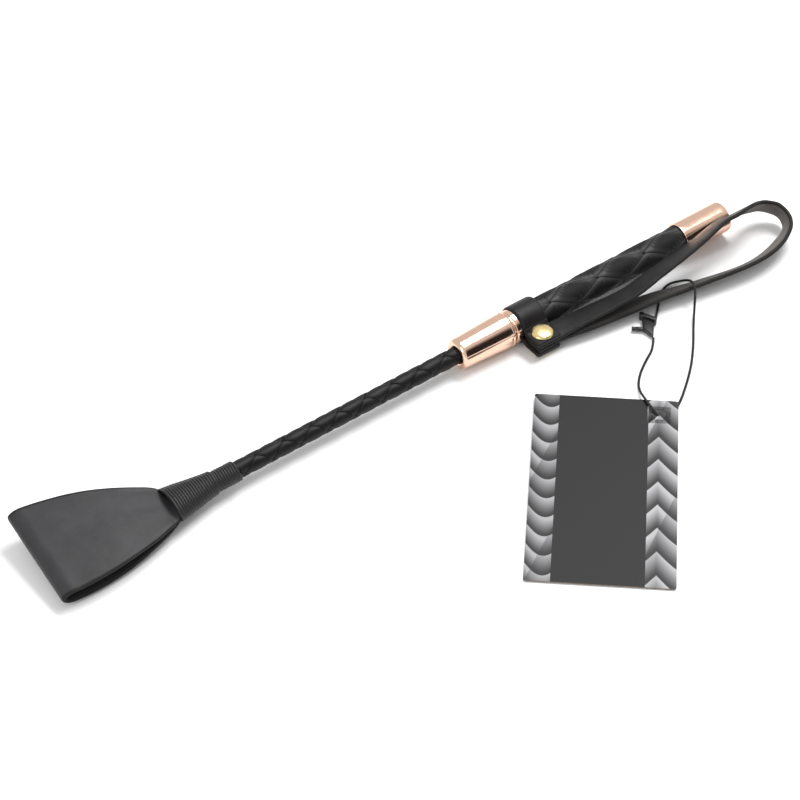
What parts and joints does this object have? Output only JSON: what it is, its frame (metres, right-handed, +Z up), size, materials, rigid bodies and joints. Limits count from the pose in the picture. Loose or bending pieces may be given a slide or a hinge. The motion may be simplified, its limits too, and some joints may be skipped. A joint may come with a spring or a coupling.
{
  "type": "riding crop",
  "caption": "Short riding crop: folded leather keeper, whipped neck, braided shaft and grip, polished metal ferrule and pommel cap, riveted wrist strap and blank hang tag.",
  "frame": {"origin": "centre of the pommel cap's flat end", "axes": "+X out of the pommel along the handle, so the keeper lies at -X; +Z up as the crop lies on a table; the wrist strap and tag are on the -Y side"},
  "size_m": [0.3298, 0.1558, 0.0196],
  "materials": {
    "rod": "moulded fibre rod, hidden under the braid",
    "grip_tube": "plain tube, hidden under the braid",
    "rose_gold": "polished, rose-gold plated",
    "rivet_brass": "polished brass",
    "braid_leather": "satin black braided strips",
    "collar_leather": "satin black with dark cut edges",
    "strap_leather": "satin black grain side, brown-grey flesh side",
    "keeper_leather": "satin charcoal, burnished edges",
    "waxed_thread": "black waxed thread, close wound",
    "card": "matt black card with plain silver-grey bands",
    "string": "black twisted cord",
    "lock_plastic": "black moulded"
  },
  "bodies": {
    "handle": {"core_rod": "rod", "grip_core": "grip_tube", "shaft_strip_1": "braid_leather", "shaft_strip_2": "braid_leather", "shaft_strip_3": "braid_leather", "shaft_strip_4": "braid_leather", "grip_strip_1": "braid_leather", "grip_strip_2": "braid_leather", "grip_strip_3": "braid_leather", "grip_strip_4": "braid_leather", "grip_strip_5": "braid_leather", "grip_strip_6": "braid_leather", "ferrule": "rose_gold", "pommel_cap": "rose_gold", "whipping": "waxed_thread", "keeper_tails": "keeper_leather"},
    "keeper": {"keeper_flap": "keeper_leather"},
    "collar": {"strap_collar": "collar_leather", "rivet_cap": "rivet_brass", "rivet_post": "rivet_brass"},
    "strap": {"wrist_strap": "strap_leather", "tag_string": "string", "string_lock": "lock_plastic", "lock_peg": "lock_plastic"},
    "tag": {"hang_tag": "card"}
  },
  "joints": [
    {"name": "keeper_flex", "type": "hinge", "parent": "handle", "child": "keeper", "pos_m": [-0.2573, 0, 0], "axis": [0, 1, 0], "range_deg": [-15, 15], "stiffness_Nm_per_rad": 0.3},
    {"name": "collar_turn", "type": "hinge", "parent": "handle", "child": "collar", "pos_m": [-0.0979, 0, 0], "axis": [1, 0, 0], "range_deg": [-180, 180]},
    {"name": "strap_pivot", "type": "hinge", "parent": "collar", "child": "strap", "pos_m": [-0.0979, -0.01052, 0], "axis": [0, 0, -1], "range_deg": [0, 45]},
    {"name": "tag_swivel", "type": "hinge", "parent": "strap", "child": "tag", "pos_m": [-0.0863, -0.0642, -0.006], "axis": [0, 0, 1], "range_deg": [-12, 20]}
  ]
}
